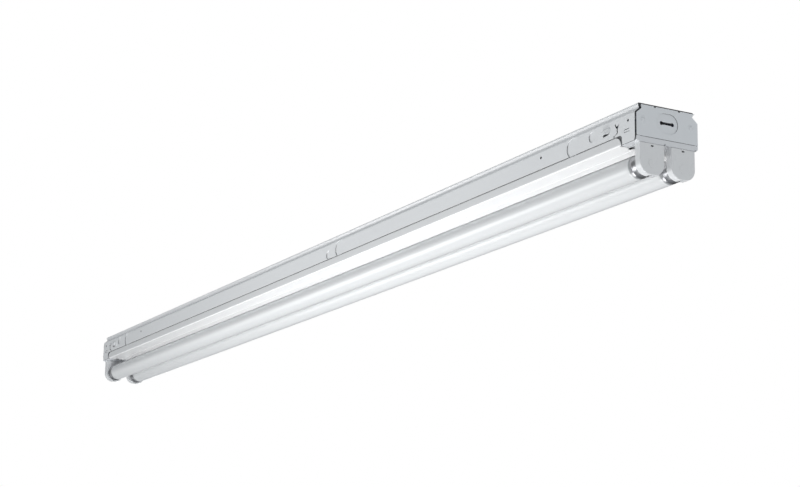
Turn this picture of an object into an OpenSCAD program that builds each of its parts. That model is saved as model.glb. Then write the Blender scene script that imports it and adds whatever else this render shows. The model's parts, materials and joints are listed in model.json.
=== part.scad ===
// Two-lamp fluorescent strip light, hung under a ceiling.
// X runs along the lamps, Y across them, Z up. The origin is the centre of the ceiling face.

/* [Channel] */
// Overall length of the fixture
length = 1524; // [1240:2:2440]
// Width across the channel sides
width = 77; // [74:0.5:90]
// Thickness of the channel steel
sheet_t = 0.9; // [0.7:0.1:1.1]
// Height of the channel side down to the cover
side_h = 29.2; // [28.5:0.1:33]
// Depth of the whole housing at its end lugs
housing_h = 39.6; // [39:0.1:44]
// How far the top edge stands in from the side
lip_inset = 3; // [2:0.1:4]
// How far the groove stands in from the side
groove_inset = 5.6; // [5:0.1:7]
// Depth of the groove bottom below the ceiling face
groove_z = 5.3; // [4:0.1:6]
// Depth at which the side is at full width again
flare_z = 10.1; // [9:0.1:11]
// Outer radius of the steel bends
bend_r = 1.5; // [1.3:0.1:2]
// How far the channel stops short of the end plate's face
channel_setback = 2.2; // [1.2:0.1:2.6]

/* [End lugs] */
// Length of the lug that covers the side of the lampholder bracket
lug_len = 24; // [22:0.5:25]
// Radius of the corner above the lug
lug_corner_r = 4.5; // [3:0.1:6]
// Width of the relief slit beside the lug
slit_w = 1.5; // [0.8:0.1:1.6]
// Distance of the side knockout from the end
side_ko_from_end = 112.5; // [100:0.5:125]
// Radius of the side and top knockouts
side_ko_r = 10.8; // [9:0.1:11.2]
// Distance of the small knockout from the end
small_ko_from_end = 76.8; // [70:0.1:80]
// Radius of the small knockout
small_ko_r = 5.8; // [5:0.1:6.5]
// How deep the knockout discs are pressed in
ko_press = 0.65; // [0.4:0.05:0.7]
// Distance of the hanger hole from the end
hanger_hole_from_end = 173; // [160:1:190]
// Radius of the hanger hole
hanger_hole_r = 1.6; // [1.2:0.1:2]
// Distance of the middle knockout from the centre
mid_ko_x = 113; // [100:1:125]
// Distance of the small middle knockout from the centre
mid_small_ko_x = 82; // [70:1:84]
// Distance of the louvre from the end
louvre_from_end = 50.8; // [48:0.1:56]

/* [Ceiling face] */
// Distance between the two ceiling screws
screw_pitch = 1219.2; // [1000:0.1:1219.2]
// Radius of the ceiling screw holes
screw_hole_r = 3.3; // [2.5:0.1:4.5]
// Distance from the ballast's end to the supply entry
entry_from_ballast = 108; // [95:1:140]
// Radius of the supply entry hole in the channel
entry_hole_r = 11.1; // [11:0.1:14]
// Radius of the bore in the entry bushing
entry_bore_r = 8.5; // [6:0.1:9]

/* [Channel cover] */
// Thickness of the cover steel
cover_t = 0.7; // [0.6:0.1:0.9]
// Depth of the cover's flat face below the ceiling
cover_z = 39.8; // [39.2:0.1:44]
// Length that the cover's sides leave free at each end
cover_end_gap = 26.2; // [25.8:0.1:28]
// How far the cover's flat face ends before its sides
cover_face_back = 2.8; // [2.4:0.1:4]
// Height of the lip inside the channel
cover_lip_h = 7; // [5:0.1:9]
// Distance of the cover's bead from the centre line
bead_y = 18.5; // [16:0.1:21]
// Width and depth of the cover's bead
bead_w = 2.2; // [1.6:0.1:3]
bead_d = 0.5; // [0.3:0.1:0.8]

/* [Lamps] */
// Distance between the two lamp axes
lamp_pitch = 38.1; // [37:0.1:42]
// Depth of the lamp axes below the ceiling face
lamp_z = 60.2; // [59.5:0.1:66]
// Radius of the glass tube
glass_r = 12.8; // [12.2:0.1:13]
// Wall of the glass tube
glass_t = 0.8; // [0.6:0.1:1.2]
// Length of the metal end cap
cap_len = 12.6; // [9:0.1:14]
// Radius of the metal end cap
cap_r = 12.5; // [12:0.1:12.7]
// Distance between the two contact pins
pin_pitch = 12.7; // [12.3:0.1:13]
// Radius of a contact pin
pin_r = 1.18; // [1.1:0.02:1.25]
// Length of a contact pin outside the cap
pin_len = 6.6; // [6:0.1:6.7]

/* [Lampholders] */
// Width of a lampholder
holder_w = 29.6; // [28:0.1:32]
// Thickness of a lampholder along the lamp
holder_d = 8.8; // [8.8:0.1:10]
// Radius of the lampholder's lower corners
holder_corner_r = 12.4; // [10:0.1:13.4]
// Distance from the lamp axis to the lampholder's foot
holder_foot = 13.3; // [13:0.1:15]
// Radius of the rotor
rotor_r = 9; // [8.8:0.1:9.4]
// Thickness of the lampholder's lid
lid_t = 1.4; // [1.2:0.1:1.6]

/* [Ballast] */
// Length, width and height of the ballast can
ballast_len = 240; // [220:1:260]
ballast_w = 43; // [40:0.5:50]
ballast_h = 28; // [24:0.5:30]

/* [Hidden] */

$fn = 48;
// Ends and sides, as the sign of X and of Y
near = 1;
far = -1;
front = -1;
rear = 1;

// Overrun of every cut
over = 1;
// Flat steps that stand for one bend
bend_steps = 4;

// Channel
half_w = width / 2;
channel_end = length / 2 - channel_setback;
inner_half_w = half_w - sheet_t;
lug_start = length / 2 - lug_len;
lug_foot_chamfer = 1.6;
locating_from_end = 13.5;
locating_z = 16.4;
locating_hole_r = 1.6;
strap_slit_len = 9.5;
strap_slit_w = 0.8;
strap_from_end = 16;
strap_z = 25.2;
strap_pitch = 3;
strap_press = 0.5;
strap_join = 0.3;
strap_play = 0.2;
ko_edge = 0.5;
side_ko_z = 20.6;
small_ko_z = 18;
mid_small_ko_z = 23.4;
hanger_hole_z = 16.4;
// Knockout disc: how much wider than its pocket, so that it stays joined
ko_join = 0.25;
top_ko_pitch = 406.4;

// Relief slit beside the lug: X is measured from the end, Z down from the ceiling
slit_x = 32.9;
slit_kink_x = 38.6;
slit_foot_z = 27;
slit_kink_z = 24.6;
slit_fork_z = 19.2;
slit_outer_top_z = 16.2;
slit_outer_reach = 3.3;
slit_inner_top_z = 14.8;
slit_inner_reach = 2.2;

// Louvre: a scoop pressed outwards, open below, with its round end towards the fixture's end
louvre_w = 12.6;
louvre_top_z = 15.6;
louvre_h = 7;
louvre_depth = 3;
louvre_flat_share = 0.5;
louvre_t = 0.6;
// The window reaches below the scoop by this much
louvre_lip = 1;

// End plate
plate_t = 0.9;
plate_side_gap = 0.5;
plate_top_gap = 2;
plate_front_gap = 3.4;
plate_rear_gap = 1;
plate_groove_gap = 1.4;
plate_tongue = 0.8;
plate_h = 34.8;
plate_flange = 13;
plate_tab_drop = 1.1;
plate_tab_step = 4;
plate_bend_r = 1;
notch_y = 15;
notch_w = 2.2;
notch_d = 1.2;
dimple_y = 29.6;
dimple_z = 17.4;
dimple_r = 3.2;
dimple_d = 0.5;
end_ko_z = 17.6;
end_ko_w = 26.6;
end_ko_h = 21;
pry_slot_len = 17.6;
pry_slot_w = 2.6;
pry_end_r = 2;

// Lampholder bracket
bracket_t = 0.9;
bracket_z = cover_z;
band_gap = 0.5;
band_h = 5.6;
band_side_gap = 0.6;
band_corner_r = 3;
bracket_gap = 1.4;
wing_len = 19;
wing_top_z = 12;
wing_from_end = 3.2;
wing_tail_from_end = 34.8;
wing_tail_inset = 0.2;
wing_tail_top_z = 20;
wing_tail_play = 0.9;
holder_slot_play = 0.3;
release_gap = 0.2;
release_w = 3.8;
release_len = 4.6;
foot_notch_w = 1.7;
foot_notch_h = 1.6;
tie_hole_r = 0.9;
tie_hole_y = 29;
tie_hole_from_end = 16.6;

// Cover
cover_gap = 0.6;
cover_side_play = 0.35;
cover_lip_slope = 0.5;
cover_notch_y = 23.4;
cover_notch_w = 5;
cover_notch_d = 4;
cover_flange_play = 0.4;
cover_ko_play = 0.8;
cover_inner_half_w = inner_half_w - cover_side_play;

// Lampholder, along X from its outer face
holder_face = length / 2 + 0.2 * plate_t;
holder_inner = holder_face - holder_d;
lid_inner = holder_face - lid_t;
lid_gap = 0.5;
rotor_play = 0.08;
rotor_d = 3.2;
rotor_end_play = 0.3;
rotor_hole_r = rotor_r + rotor_play;
contact_room_x = holder_inner + rotor_d + 2 * rotor_end_play;
entry_slot_w = 3.4;
rotor_slot_w = 2 * pin_r + 0.5 * pin_r;
hub_r = 4.4;
hub_web = 0.55;
contact_room_w = 17.4;
contact_room_low = 8.4;
neck_w = 24;
neck_d = 6.4;
neck_inset = 0.5;
neck_wall = 0.9;
neck_top_z = 30;
neck_room_w = 20;
hook_w = 1.2;
hook_h = 3;
window_w = 3.4;
window_h = 1.7;
window_z = 43.7;
boss_r = 4.6;
boss_h = 0.35;
boss_z = 62;

// Contact strips
contact_t = 0.4;
contact_w = 1.8;
contact_play = 0.3;
contact_low = 5;
contact_y = pin_pitch / 2 + pin_r + contact_play;

// Lamp, along X from the middle
lamp_end_play = 0.4;
lamp_face = holder_inner - lamp_end_play;
cap_start = lamp_face - cap_len;
cap_t = 0.4;
cap_edge_r = 1.2;
glass_shoulder = 5;
glass_neck_r = 11.4;
glass_neck_in = 6;
insulator_r = 8.6;
insulator_t = 1.6;
insulator_play = 0.1;
pin_root = 2.4;
stem_r = 5;
stem_len = 22;
filament_r = 0.7;
filament_len = 9;
stem_wire_r = 0.4;
stem_wire_len = 9;

// Ballast
ballast_x = 0;
entry_x = ballast_x + ballast_len / 2 + entry_from_ballast;
lead_play = 0.3;
ballast_t = 0.7;
ballast_base_t = 1;
ballast_tab = 14;
board_t = 1.6;
board_gap = 4;
board_margin = 4;
coil_xs_share = [-0.32, 0.04, 0.3];
coil_len = 26;
coil_w = 24;
coil_h = 15;
coil_core_len = 14;
coil_core_h = 18;
capacitor_r = 6;
capacitor_len = 17;
capacitor_xs_share = [-0.14, 0.17];
ballast_screw_r = 2.1;
ballast_screw_head_r = 4;
ballast_screw_head_h = 2.6;
screw_fit = 0.02;

// Leads: depth of the lamp leads below the ceiling face
lead_r = 1.3;
lead_z = 5.2;
lead_bend_r = 5;
lamp_lead_y = lamp_pitch / 2 - contact_y;
supply_lead_y = 6;
supply_lead_z = 7.2;
connector_len = 16;
connector_tip_r = 2.6;
connector_r = 3.8;
connector_overlap = 9;
connector_gap = 2;
clip_from_ko = [-60, 130];
clip_w = 8;
clip_t = 0.6;
clip_r = lead_r + 0.1 * lead_r;
ground_from_entry = 52;
ground_x = entry_x - ground_from_entry;
ground_side_gap = 4.9;
ground_screw_r = 1.9;
ground_head_r = 4;
ground_y = -(half_w - groove_inset - ground_head_r - ground_side_gap);
ground_head_h = 2.4;
ground_ring_t = 0.8;
ground_ring_r = 5.2;
ground_lead_gap = 0.2;

// Bushing
bushing_flange_r = 13.2;
bushing_flange_t = 1.2;
bushing_depth = 2.6;
bushing_play = 0.1;
supply_lead_end = entry_x - bushing_flange_r - connector_gap - connector_len + connector_overlap;

// Path helpers: a path is a list of points, and steel lies on its right
function unit(v) = v / norm(v);
function right_of(v) = [v[1], -v[0]];
function shifted_point(p, i, t) =
    let (last = len(p) - 1,
         a = right_of(unit(i > 0 ? p[i] - p[i - 1] : p[1] - p[0])),
         b = right_of(unit(i < last ? p[i + 1] - p[i] : p[last] - p[last - 1])))
    p[i] + (a + b) * (t / (1 + a * b));
function shifted(p, t) = [for (i = [0 : len(p) - 1]) shifted_point(p, i, t)];
function reversed(p) = [for (i = [len(p) - 1 : -1 : 0]) p[i]];
function sheet_outline(p, t) = concat(p, reversed(shifted(p, t)));
function corner_arc(a, b, c, r) =
    let (u = unit(a - b),
         v = unit(c - b),
         half = acos(u * v) / 2,
         centre = b + unit(u + v) * (r / sin(half)),
         from = b + u * (r / tan(half)) - centre,
         to = b + v * (r / tan(half)) - centre,
         start = atan2(from[1], from[0]),
         swing = atan2(from[0] * to[1] - from[1] * to[0], from * to))
    [for (k = [0 : bend_steps])
        let (angle = start + swing * k / bend_steps)
        centre + r * [cos(angle), sin(angle)]];
function bent(p, r) = concat(
    [p[0]],
    [for (i = [1 : len(p) - 2]) each corner_arc(p[i - 1], p[i], p[i + 1], r)],
    [p[len(p) - 1]]);
function mirrored_path(p) = [for (i = [len(p) - 1 : -1 : 0]) [-p[i][0], p[i][1]]];

// Puts a drawing of Y and Z upright and runs it along X
module along_x(from, to) {
    translate([from, 0, 0])
        rotate([90, 0, 90])
            linear_extrude(to - from)
                children();
}

// Runs a drawing of X and Z through the side sheet on the front
module through_side(from, to) {
    translate([0, to, 0])
        rotate([90, 0, 0])
            linear_extrude(to - from)
                children();
}

module both_ends() {
    for (m = [0, 1])
        mirror([m, 0, 0])
            children();
}

module both_sides() {
    for (m = [0, 1])
        mirror([0, m, 0])
            children();
}

module rod_x(r, from, to) {
    translate([from, 0, 0])
        rotate([0, 90, 0])
            cylinder(r = r, h = to - from);
}

module block(low, high) {
    translate(low)
        cube(high - low);
}

// Turns a part so that it sits at one end
module at_end(end) {
    mirror([end == near ? 0 : 1, 0, 0])
        children();
}

// Channel
channel_side_path = [
    [-half_w, -housing_h],
    [-half_w, -flare_z],
    [-(half_w - groove_inset), -groove_z],
    [-(half_w - lip_inset), 0],
];
channel_path = bent(concat(channel_side_path, mirrored_path(channel_side_path)), bend_r);

// Steel taken away between the two end lugs, so that the cover can close the channel
module lug_relief() {
    reach = lug_start;
    through_side(-(half_w + over), -(inner_half_w - over)) {
        difference() {
            translate([-reach, -(housing_h + over)])
                square([2 * reach, housing_h + over - side_h]);
            for (s = [-1, 1])
                translate([s * (reach - lug_corner_r), -(side_h + lug_corner_r)])
                    difference() {
                        translate([s > 0 ? 0 : -lug_corner_r, 0])
                            square(lug_corner_r);
                        circle(lug_corner_r);
                    }
        }
    }
}

slit_path = [
    [length / 2 - slit_kink_x, -(side_h + over)],
    [length / 2 - slit_kink_x, -slit_foot_z],
    [length / 2 - slit_x, -slit_kink_z],
    [length / 2 - slit_x, -slit_fork_z],
    [length / 2 - slit_x + slit_outer_reach, -slit_outer_top_z],
];
slit_fork_path = [
    [length / 2 - slit_x - slit_inner_reach, -slit_inner_top_z],
    [length / 2 - slit_x, -slit_fork_z],
];

module lug_slit() {
    through_side(-(half_w + over), -(inner_half_w - over)) {
        polygon(sheet_outline(slit_path, slit_w));
        polygon(sheet_outline(slit_fork_path, slit_w));
        translate([length / 2 - slit_x + slit_w / 2, -slit_fork_z])
            circle(slit_w);
    }
}

// A strap between two slits is pressed in and keys into a window in the bracket's wing
strap_start = length / 2 - strap_from_end - strap_slit_len / 2;
strap_low_z = strap_z + strap_pitch;

module strap_window() {
    block([strap_start, -(half_w + over), -strap_low_z],
          [strap_start + strap_slit_len, -(inner_half_w - over), -strap_z + strap_slit_w]);
}

module strap() {
    block([strap_start - strap_join, -half_w + strap_press, -strap_low_z + strap_slit_w],
          [strap_start + strap_slit_len + strap_join, -inner_half_w + strap_press, -strap_z]);
}

// Lower corner of the lug next to the bracket's band
module lug_foot() {
    through_side(-(half_w + over), -(inner_half_w - over))
        polygon([
            [channel_end - lug_foot_chamfer, -housing_h - over],
            [channel_end - lug_foot_chamfer, -housing_h],
            [channel_end, -housing_h + 2 * lug_foot_chamfer],
            [channel_end + over, -housing_h + 2 * lug_foot_chamfer],
            [channel_end + over, -housing_h - over],
        ]);
}

module side_hole(x, z, r) {
    translate([x, 0, -z])
        through_side(-(half_w + over), -(inner_half_w - over))
            circle(r);
}

louvre_x = length / 2 - louvre_from_end - louvre_w / 2;
louvre_low_z = louvre_top_z + louvre_h;

module louvre_shape() {
    square([louvre_w - louvre_h / 2, louvre_h]);
    translate([louvre_w - louvre_h / 2, louvre_h / 2])
        circle(louvre_h / 2);
}

module louvre_window() {
    translate([louvre_x, 0, -louvre_low_z])
        through_side(-(half_w + over), -(inner_half_w - over)) {
            louvre_shape();
            translate([0, -louvre_lip])
                square([louvre_w - louvre_h / 2, louvre_lip + louvre_h / 2]);
        }
}

// The scoop grows from nothing at its top and at its round end to its full depth
module louvre_block() {
    flat_x = louvre_x + louvre_w * louvre_flat_share;
    flat_z = louvre_top_z + louvre_h * louvre_flat_share;
    intersection() {
        translate([louvre_x, 0, -louvre_low_z])
            through_side(-half_w - louvre_depth, -inner_half_w)
                louvre_shape();
        along_x(louvre_x - over, louvre_x + louvre_w + over)
            polygon([
                [-inner_half_w, -louvre_top_z],
                [-half_w, -louvre_top_z],
                [-half_w - louvre_depth, -flat_z],
                [-half_w - louvre_depth, -louvre_low_z - over],
                [-inner_half_w, -louvre_low_z - over],
            ]);
        translate([0, 0, -louvre_low_z - over])
            linear_extrude(louvre_h + 2 * over)
                polygon([
                    [louvre_x, -inner_half_w],
                    [louvre_x, -half_w - louvre_depth],
                    [flat_x, -half_w - louvre_depth],
                    [louvre_x + louvre_w, -half_w],
                    [louvre_x + louvre_w, -inner_half_w],
                ]);
    }
}

module louvre_scoop() {
    difference() {
        louvre_block();
        translate([louvre_t, louvre_t, -louvre_t])
            louvre_block();
    }
}

// A knockout is a disc pressed part of the way through the sheet
module side_ko_disc(x, z, r) {
    translate([x, 0, -z])
        through_side(-inner_half_w - sheet_t + ko_press, -inner_half_w + ko_press)
            circle(r + ko_join);
}

module side_ko_pocket(x, z, r) {
    translate([x, 0, -z])
        through_side(-(half_w + over), -half_w + ko_press)
            circle(r);
}

module side_knockouts(discs) {
    end_x = length / 2;
    both_ends() {
        if (discs) {
            side_ko_disc(end_x - side_ko_from_end, side_ko_z, side_ko_r);
            side_ko_disc(end_x - small_ko_from_end, small_ko_z, small_ko_r);
        } else {
            side_ko_pocket(end_x - side_ko_from_end, side_ko_z, side_ko_r);
            side_ko_pocket(end_x - small_ko_from_end, small_ko_z, small_ko_r);
        }
    }
    if (discs) {
        side_ko_disc(mid_ko_x, side_ko_z, side_ko_r);
        side_ko_disc(mid_small_ko_x, mid_small_ko_z, small_ko_r);
    } else {
        side_ko_pocket(mid_ko_x, side_ko_z, side_ko_r);
        side_ko_pocket(mid_small_ko_x, mid_small_ko_z, small_ko_r);
    }
}

// What is left of the side knockouts below the channel's lower edge is cut off
module below_side() {
    block([-lug_start, -(half_w + over), -housing_h - over],
          [lug_start, half_w + over, -side_h + ko_edge]);
}

module top_knockouts(discs) {
    for (x = [-top_ko_pitch, top_ko_pitch])
        translate([x, 0, discs ? -sheet_t - ko_press : -ko_press])
            cylinder(r = side_ko_r + (discs ? ko_join : 0), h = discs ? sheet_t : ko_press + over);
}

module top_hole(x, y, r) {
    translate([x, y, -sheet_t - over])
        cylinder(r = r, h = sheet_t + 2 * over);
}

module channel() {
    color("whitesmoke")
        difference() {
            union() {
                difference() {
                    along_x(-channel_end, channel_end)
                        polygon(sheet_outline(channel_path, sheet_t));
                    both_sides()
                        lug_relief();
                    both_ends()
                        both_sides() {
                            lug_slit();
                            strap_window();
                            lug_foot();
                            louvre_window();
                            side_hole(length / 2 - locating_from_end, locating_z, locating_hole_r);
                            side_hole(length / 2 - hanger_hole_from_end, hanger_hole_z, hanger_hole_r);
                        }
                }
                both_ends()
                    both_sides() {
                        louvre_scoop();
                        strap();
                    }
                difference() {
                    both_sides()
                        side_knockouts(true);
                    below_side();
                }
                top_knockouts(true);
            }
            both_sides()
                side_knockouts(false);
            top_knockouts(false);
            for (x = [-screw_pitch / 2, screw_pitch / 2])
                top_hole(x, 0, screw_hole_r);
            top_hole(entry_x, 0, entry_hole_r);
            top_hole(ground_x, ground_y, ground_screw_r + screw_fit);
            for (s = [-1, 1])
                top_hole(ballast_x + s * (ballast_len + ballast_tab) / 2, 0, ballast_screw_r + screw_fit);
        }
}

// Channel cover
cover_top_z = side_h + cover_gap + cover_lip_slope;
cover_lip_z = side_h + cover_gap - cover_lip_slope;
cover_half_path = concat(
    [
        [-cover_inner_half_w, -(cover_lip_z - cover_lip_h)],
        [-cover_inner_half_w, -cover_lip_z],
        [-half_w, -cover_top_z],
    ],
    corner_arc([-half_w, -cover_top_z], [-half_w, -cover_z], [-bead_y, -cover_z], bend_r),
    [
        [-(bead_y + bead_w / 2), -cover_z],
        [-bead_y, -(cover_z - bead_d)],
        [-(bead_y - bead_w / 2), -cover_z],
    ]);
cover_path = reversed(concat(cover_half_path, mirrored_path(cover_half_path)));
cover_end = length / 2 - cover_end_gap;
cover_face_end = cover_end - cover_face_back;

// The side is rounded off above the lug, and the lip stops there
module cover_corner() {
    r = cover_z - cover_top_z;
    through_side(-(half_w + over), -(cover_inner_half_w - cover_t - over))
        difference() {
            translate([cover_end - r, -cover_z])
                square([r + over, r + 2 * cover_lip_slope + cover_lip_h + over]);
            translate([cover_end - r, -cover_z])
                circle(r);
        }
}

// The lip makes room for a knockout
module lip_notch(x, r) {
    reach = r + ko_join + cover_ko_play;
    block([x - reach, -half_w, -(side_h - ko_edge / 2)],
          [x + reach, -(cover_inner_half_w - cover_t - over), 0]);
}

module channel_cover() {
    color("whitesmoke")
        difference() {
            along_x(-cover_end, cover_end)
                polygon(sheet_outline(cover_path, cover_t));
            both_ends()
                both_sides() {
                    cover_corner();
                    lip_notch(length / 2 - side_ko_from_end, side_ko_r);
                    lip_notch(length / 2 - small_ko_from_end, small_ko_r);
                }
            both_sides() {
                lip_notch(mid_ko_x, side_ko_r);
                lip_notch(mid_small_ko_x, small_ko_r);
            }
            both_ends()
                block([cover_face_end, -(half_w - cover_t), -cover_z - over],
                      [cover_end + over, half_w - cover_t, -cover_z + bend_r]);
            both_ends()
                both_sides()
                    block([cover_face_end - cover_notch_d, -(cover_notch_y + cover_notch_w / 2), -cover_z - over],
                          [cover_end, -(cover_notch_y - cover_notch_w / 2), -cover_z + cover_t + over]);
        }
}

// End plate
plate_groove_y = half_w - groove_inset - plate_groove_gap;

function plate_side_path(lip_gap) = [
    [-(half_w - plate_side_gap), -plate_h],
    [-(half_w - plate_side_gap), -(flare_z + plate_groove_gap)],
    [-plate_groove_y, -(groove_z + plate_side_gap)],
    [-(plate_groove_y + plate_tongue), -(groove_z + plate_top_gap) / 2],
    [-(half_w - lip_inset - lip_gap), -plate_top_gap],
];

// The two slots end the bend of the tab between them
module end_plate_outline() {
    difference() {
        polygon(concat(plate_side_path(plate_front_gap), mirrored_path(plate_side_path(plate_rear_gap))));
        for (s = [-1, 1])
            translate([s * notch_y - notch_w / 2, -(plate_top_gap + notch_d)])
                square([notch_w, notch_d + over]);
    }
}

module obround(w, h) {
    square([w - h, h], center = true);
    for (s = [-1, 1])
        translate([s * (w - h) / 2, 0])
            circle(h / 2);
}

module end_plate(end) {
    face = length / 2;
    color("gainsboro")
        at_end(end) {
            difference() {
                union() {
                    along_x(face - plate_t, face)
                        end_plate_outline();
                    // Tab that is bent back and welded under the channel's top
                    through_side(-(notch_y - notch_w / 2), notch_y - notch_w / 2)
                        polygon(sheet_outline(bent([
                            [face - plate_flange, -sheet_t],
                            [face - plate_tab_step - plate_tab_drop, -sheet_t],
                            [face - plate_tab_step, -(sheet_t + plate_tab_drop)],
                            [face, -(sheet_t + plate_tab_drop)],
                            [face, -(sheet_t + plate_tab_drop + 2 * plate_bend_r)],
                        ], plate_bend_r), plate_t));
                    translate([0, 0, -end_ko_z])
                        along_x(face - plate_t - ko_press, face - ko_press)
                            obround(end_ko_w + 2 * ko_join, end_ko_h + 2 * ko_join);
                    for (s = [-1, 1])
                        translate([face - plate_t / 2, s * dimple_y, -dimple_z])
                            rotate([0, 90, 0])
                                cylinder(r1 = dimple_r, r2 = dimple_r / 2, h = plate_t / 2 + dimple_d);
                }
                translate([0, 0, -end_ko_z]) {
                    along_x(face - ko_press, face + over)
                        obround(end_ko_w, end_ko_h);
                    along_x(face - 2 * plate_t - over, face + over) {
                        square([pry_slot_len - pry_end_r, pry_slot_w], center = true);
                        for (s = [-1, 1])
                            translate([s * (pry_slot_len / 2 - pry_end_r), 0])
                                circle(pry_end_r);
                    }
                }
                for (s = [-1, 1])
                    translate([face - plate_t - over, s * dimple_y, -dimple_z])
                        rotate([0, 90, 0])
                            cylinder(r = dimple_r / 2, h = dimple_d + over);
            }
        }
}

// Lampholder bracket: a front band, a shelf with two slots, and two wings inside the channel
band_top_z = plate_h + band_gap;
band_foot_z = band_top_z + band_h;
shelf_top_z = bracket_z - bracket_t;
wing_end = length / 2 - wing_from_end;
shelf_start = cover_face_end + bracket_gap;
neck_x = holder_inner + neck_inset;

module band_outline() {
    w = width - 2 * band_side_gap;
    straight = band_h - band_corner_r;
    translate([-w / 2, -band_top_z - straight])
        square([w, straight]);
    translate([-w / 2 + band_corner_r, -band_foot_z])
        square([w - 2 * band_corner_r, band_corner_r + straight / 2]);
    for (s = [-1, 1])
        translate([s * (w / 2 - band_corner_r), -band_foot_z + band_corner_r])
            circle(band_corner_r);
}

module holder_bracket(end) {
    face = length / 2;
    color("white")
        at_end(end)
            difference() {
                union() {
                    along_x(face - bracket_t, face)
                        band_outline();
                    block([shelf_start, -(half_w - cover_t - cover_flange_play), -bracket_z],
                          [face - bracket_t / 2, half_w - cover_t - cover_flange_play, -shelf_top_z]);
                    block([lug_start, -inner_half_w, -bracket_z],
                          [face - bracket_t / 2, inner_half_w, -shelf_top_z]);
                    both_sides()
                        union() {
                            block([wing_end - wing_len, -inner_half_w, -bracket_z + bracket_t / 2],
                                  [wing_end, -inner_half_w + bracket_t, -wing_top_z]);
                            // Low tail of the wing, behind the opening above the lug
                            block([face - wing_tail_from_end, -inner_half_w + wing_tail_inset,
                                   -shelf_top_z + wing_tail_play],
                                  [wing_end - wing_len / 2, -inner_half_w + bracket_t, -wing_tail_top_z]);
                        }
                }
                for (s = [-1, 1])
                    translate([0, s * lamp_pitch / 2, -bracket_z]) {
                        block([neck_x - holder_slot_play, -neck_w / 2 - holder_slot_play, -over],
                              [neck_x + neck_d + holder_slot_play, neck_w / 2 + holder_slot_play, bracket_t + over]);
                        // Slot through which a blade reaches the lampholder's hook, open at the band's foot
                        block([face - bracket_t - release_len, holder_w / 2 + release_gap, -over],
                              [face - bracket_t, holder_w / 2 + release_gap + release_w, bracket_t + over]);
                        block([face - bracket_t - over, holder_w / 2, bracket_z - band_foot_z - over],
                              [face + over, holder_w / 2 + foot_notch_w, bracket_z - band_foot_z + foot_notch_h]);
                    }
                both_sides() {
                    wing_cut_y = -(inner_half_w - bracket_t - over);
                    translate([face - locating_from_end, 0, -locating_z])
                        through_side(-half_w, wing_cut_y)
                            circle(locating_hole_r);
                    block([strap_start - strap_join - strap_play, -half_w, -strap_low_z],
                          [strap_start + strap_slit_len + strap_join + strap_play, wing_cut_y, -strap_z + strap_slit_w]);
                    translate([face - tie_hole_from_end, -tie_hole_y, -bracket_z - over])
                        cylinder(r = tie_hole_r, h = bracket_t + 2 * over);
                    block([shelf_start - over, -(cover_notch_y + cover_notch_w / 2), -bracket_z - over],
                          [shelf_start + cover_face_back, -(cover_notch_y - cover_notch_w / 2), -bracket_z + 2 * bracket_t]);
                }
            }
}

module supply_bushing() {
    color("dimgray")
        translate([entry_x, 0, 0])
            difference() {
                union() {
                    translate([0, 0, -sheet_t - bushing_depth])
                        cylinder(r = entry_hole_r - bushing_play, h = sheet_t + bushing_depth);
                    translate([0, 0, -sheet_t - bushing_flange_t])
                        cylinder(r = bushing_flange_r, h = bushing_flange_t);
                }
                translate([0, 0, -sheet_t - bushing_depth - over])
                    cylinder(r = entry_bore_r, h = sheet_t + bushing_depth + 2 * over);
            }
}

// Lampholders
lamp_lead_x = contact_room_x + contact_play + contact_w / 2;

module at_lamp(side) {
    translate([0, side * lamp_pitch / 2, -lamp_z])
        children();
}

// The lampholder's outline about the lamp axis, from its foot to its shoulder
module holder_outline(shoulder_z) {
    low = holder_foot - holder_corner_r;
    translate([-holder_w / 2, -low])
        square([holder_w, lamp_z - shoulder_z + low]);
    translate([-(holder_w / 2 - holder_corner_r), -holder_foot])
        square([holder_w - 2 * holder_corner_r, holder_foot]);
    for (s = [-1, 1])
        translate([s * (holder_w / 2 - holder_corner_r), -low])
            circle(holder_corner_r);
}

module holder_body(end, side) {
    room_x = contact_room_x;
    neck_top = lamp_z - neck_top_z;
    shelf_low = lamp_z - bracket_z;
    color("white")
        at_end(end)
            at_lamp(side)
                difference() {
                    union() {
                        along_x(holder_inner, lid_inner)
                            holder_outline(bracket_z);
                        block([neck_x, -neck_w / 2, 0],
                              [neck_x + neck_d, neck_w / 2, neck_top]);
                        block([neck_x, -neck_w / 2 - hook_w, shelf_low + bracket_t],
                              [neck_x + neck_d, neck_w / 2 + hook_w, shelf_low + bracket_t + hook_h]);
                    }
                    rod_x(rotor_hole_r, holder_inner - over, room_x);
                    block([room_x - rotor_end_play, -contact_room_w / 2, -contact_room_low],
                          [lid_inner + over, contact_room_w / 2, lamp_z - band_foot_z - neck_wall]);
                    block([room_x - rotor_end_play, -neck_room_w / 2, contact_room_low],
                          [neck_x + neck_d - neck_wall, neck_room_w / 2, neck_top - neck_wall]);
                    block([holder_inner - over, -entry_slot_w / 2, -holder_foot - over],
                          [lid_inner + over, entry_slot_w / 2, 0]);
                    for (s = [-1, 1])
                        translate([lamp_lead_x, s * contact_y, neck_top - neck_wall - over])
                            cylinder(r = lead_r + lead_play, h = neck_wall + 2 * over);
                }
}

module holder_lid(end, side) {
    color("white")
        at_end(end)
            at_lamp(side)
                difference() {
                    union() {
                        along_x(lid_inner, holder_face)
                            holder_outline(band_foot_z + lid_gap);
                        translate([0, 0, lamp_z - boss_z])
                            rod_x(boss_r, holder_face - lid_t / 2, holder_face + boss_h);
                    }
                    translate([0, -window_w / 2, lamp_z - window_z - window_h / 2])
                        block([lid_inner - over, 0, 0], [holder_face + over, window_w, window_h]);
                }
}

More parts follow.
